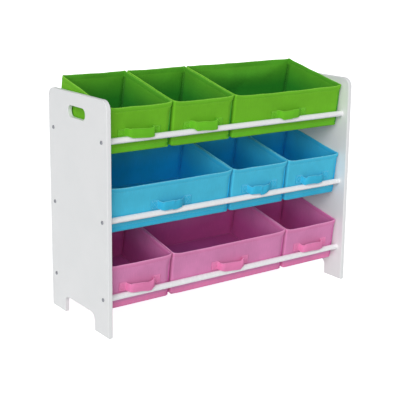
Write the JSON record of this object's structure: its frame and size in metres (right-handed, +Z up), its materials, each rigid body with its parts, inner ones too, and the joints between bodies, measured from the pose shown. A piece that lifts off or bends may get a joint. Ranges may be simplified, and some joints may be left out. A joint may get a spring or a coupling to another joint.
{
  "type": "toy storage rack with fabric bins",
  "caption": "Free-standing toy organiser: two white side panels joined by rods that carry tilted fabric bins with strap handles, in three colours by tier.",
  "frame": {"origin": "on the floor, midway between the panels and between their front and rear edges", "axes": "+X along the rods to the right-hand panel, -Y the open front, +Z up"},
  "size_m": [0.8096, 0.3, 0.6335],
  "materials": {
    "panel_paint": "white satin paint on fibreboard",
    "rod_coat": "white gloss powder coat",
    "bolt_steel": "dark zinc",
    "plug_steel": "bright zinc",
    "board": "raw grey board",
    "green_cloth": "green non-woven cloth",
    "green_base": "board covered in green cloth",
    "blue_cloth": "blue non-woven cloth",
    "blue_base": "board covered in blue cloth",
    "pink_cloth": "pink non-woven cloth",
    "pink_base": "board covered in pink cloth"
  },
  "bodies": {
    "frame": {"left_side_panel": "panel_paint", "left_bolts": "bolt_steel", "left_rod_plugs": "plug_steel", "right_side_panel": "panel_paint", "right_bolts": "bolt_steel", "right_rod_plugs": "plug_steel", "bottom_front_rod": "rod_coat", "bottom_rear_rod": "rod_coat", "middle_front_rod": "rod_coat", "middle_rear_rod": "rod_coat", "top_front_rod": "rod_coat", "top_rear_rod": "rod_coat"},
    "bottom_left_bin_unit": {"bottom_left_bin": "pink_cloth", "bottom_left_wall_boards": "board", "bottom_left_base_board": "pink_base", "bottom_left_handle": "pink_cloth", "bottom_left_ties": "pink_cloth"},
    "bottom_centre_bin_unit": {"bottom_centre_bin": "pink_cloth", "bottom_centre_wall_boards": "board", "bottom_centre_base_board": "pink_base", "bottom_centre_handle": "pink_cloth", "bottom_centre_ties": "pink_cloth"},
    "bottom_right_bin_unit": {"bottom_right_bin": "pink_cloth", "bottom_right_wall_boards": "board", "bottom_right_base_board": "pink_base", "bottom_right_handle": "pink_cloth", "bottom_right_ties": "pink_cloth"},
    "middle_left_bin_unit": {"middle_left_bin": "blue_cloth", "middle_left_wall_boards": "board", "middle_left_base_board": "blue_base", "middle_left_handle": "blue_cloth", "middle_left_ties": "blue_cloth"},
    "middle_centre_bin_unit": {"middle_centre_bin": "blue_cloth", "middle_centre_wall_boards": "board", "middle_centre_base_board": "blue_base", "middle_centre_handle": "blue_cloth", "middle_centre_ties": "blue_cloth"},
    "middle_right_bin_unit": {"middle_right_bin": "blue_cloth", "middle_right_wall_boards": "board", "middle_right_base_board": "blue_base", "middle_right_handle": "blue_cloth", "middle_right_ties": "blue_cloth"},
    "top_left_bin_unit": {"top_left_bin": "green_cloth", "top_left_wall_boards": "board", "top_left_base_board": "green_base", "top_left_handle": "green_cloth", "top_left_ties": "green_cloth"},
    "top_centre_bin_unit": {"top_centre_bin": "green_cloth", "top_centre_wall_boards": "board", "top_centre_base_board": "green_base", "top_centre_handle": "green_cloth", "top_centre_ties": "green_cloth"},
    "top_right_bin_unit": {"top_right_bin": "green_cloth", "top_right_wall_boards": "board", "top_right_base_board": "green_base", "top_right_handle": "green_cloth", "top_right_ties": "green_cloth"}
  },
  "joints": [
    {"name": "bottom_left_tip", "type": "hinge", "parent": "frame", "child": "bottom_left_bin_unit", "pos_m": [-0.2915, 0.124, 0.096], "axis": [-1, 0, 0], "range_deg": [0, 18]},
    {"name": "bottom_centre_tip", "type": "hinge", "parent": "frame", "child": "bottom_centre_bin_unit", "pos_m": [0, 0.124, 0.096], "axis": [-1, 0, 0], "range_deg": [0, 18]},
    {"name": "bottom_right_tip", "type": "hinge", "parent": "frame", "child": "bottom_right_bin_unit", "pos_m": [0.2915, 0.124, 0.096], "axis": [-1, 0, 0], "range_deg": [0, 18]},
    {"name": "middle_left_tip", "type": "hinge", "parent": "frame", "child": "middle_left_bin_unit", "pos_m": [-0.195, 0.124, 0.296], "axis": [-1, 0, 0], "range_deg": [0, 18]},
    {"name": "middle_centre_tip", "type": "hinge", "parent": "frame", "child": "middle_centre_bin_unit", "pos_m": [0.0965, 0.124, 0.296], "axis": [-1, 0, 0], "range_deg": [0, 18]},
    {"name": "middle_right_tip", "type": "hinge", "parent": "frame", "child": "middle_right_bin_unit", "pos_m": [0.2915, 0.124, 0.296], "axis": [-1, 0, 0], "range_deg": [0, 18]},
    {"name": "top_left_tip", "type": "hinge", "parent": "frame", "child": "top_left_bin_unit", "pos_m": [-0.2915, 0.124, 0.496], "axis": [-1, 0, 0], "range_deg": [0, 60]},
    {"name": "top_centre_tip", "type": "hinge", "parent": "frame", "child": "top_centre_bin_unit", "pos_m": [-0.0965, 0.124, 0.496], "axis": [-1, 0, 0], "range_deg": [0, 60]},
    {"name": "top_right_tip", "type": "hinge", "parent": "frame", "child": "top_right_bin_unit", "pos_m": [0.195, 0.124, 0.496], "axis": [-1, 0, 0], "range_deg": [0, 60]}
  ]
}
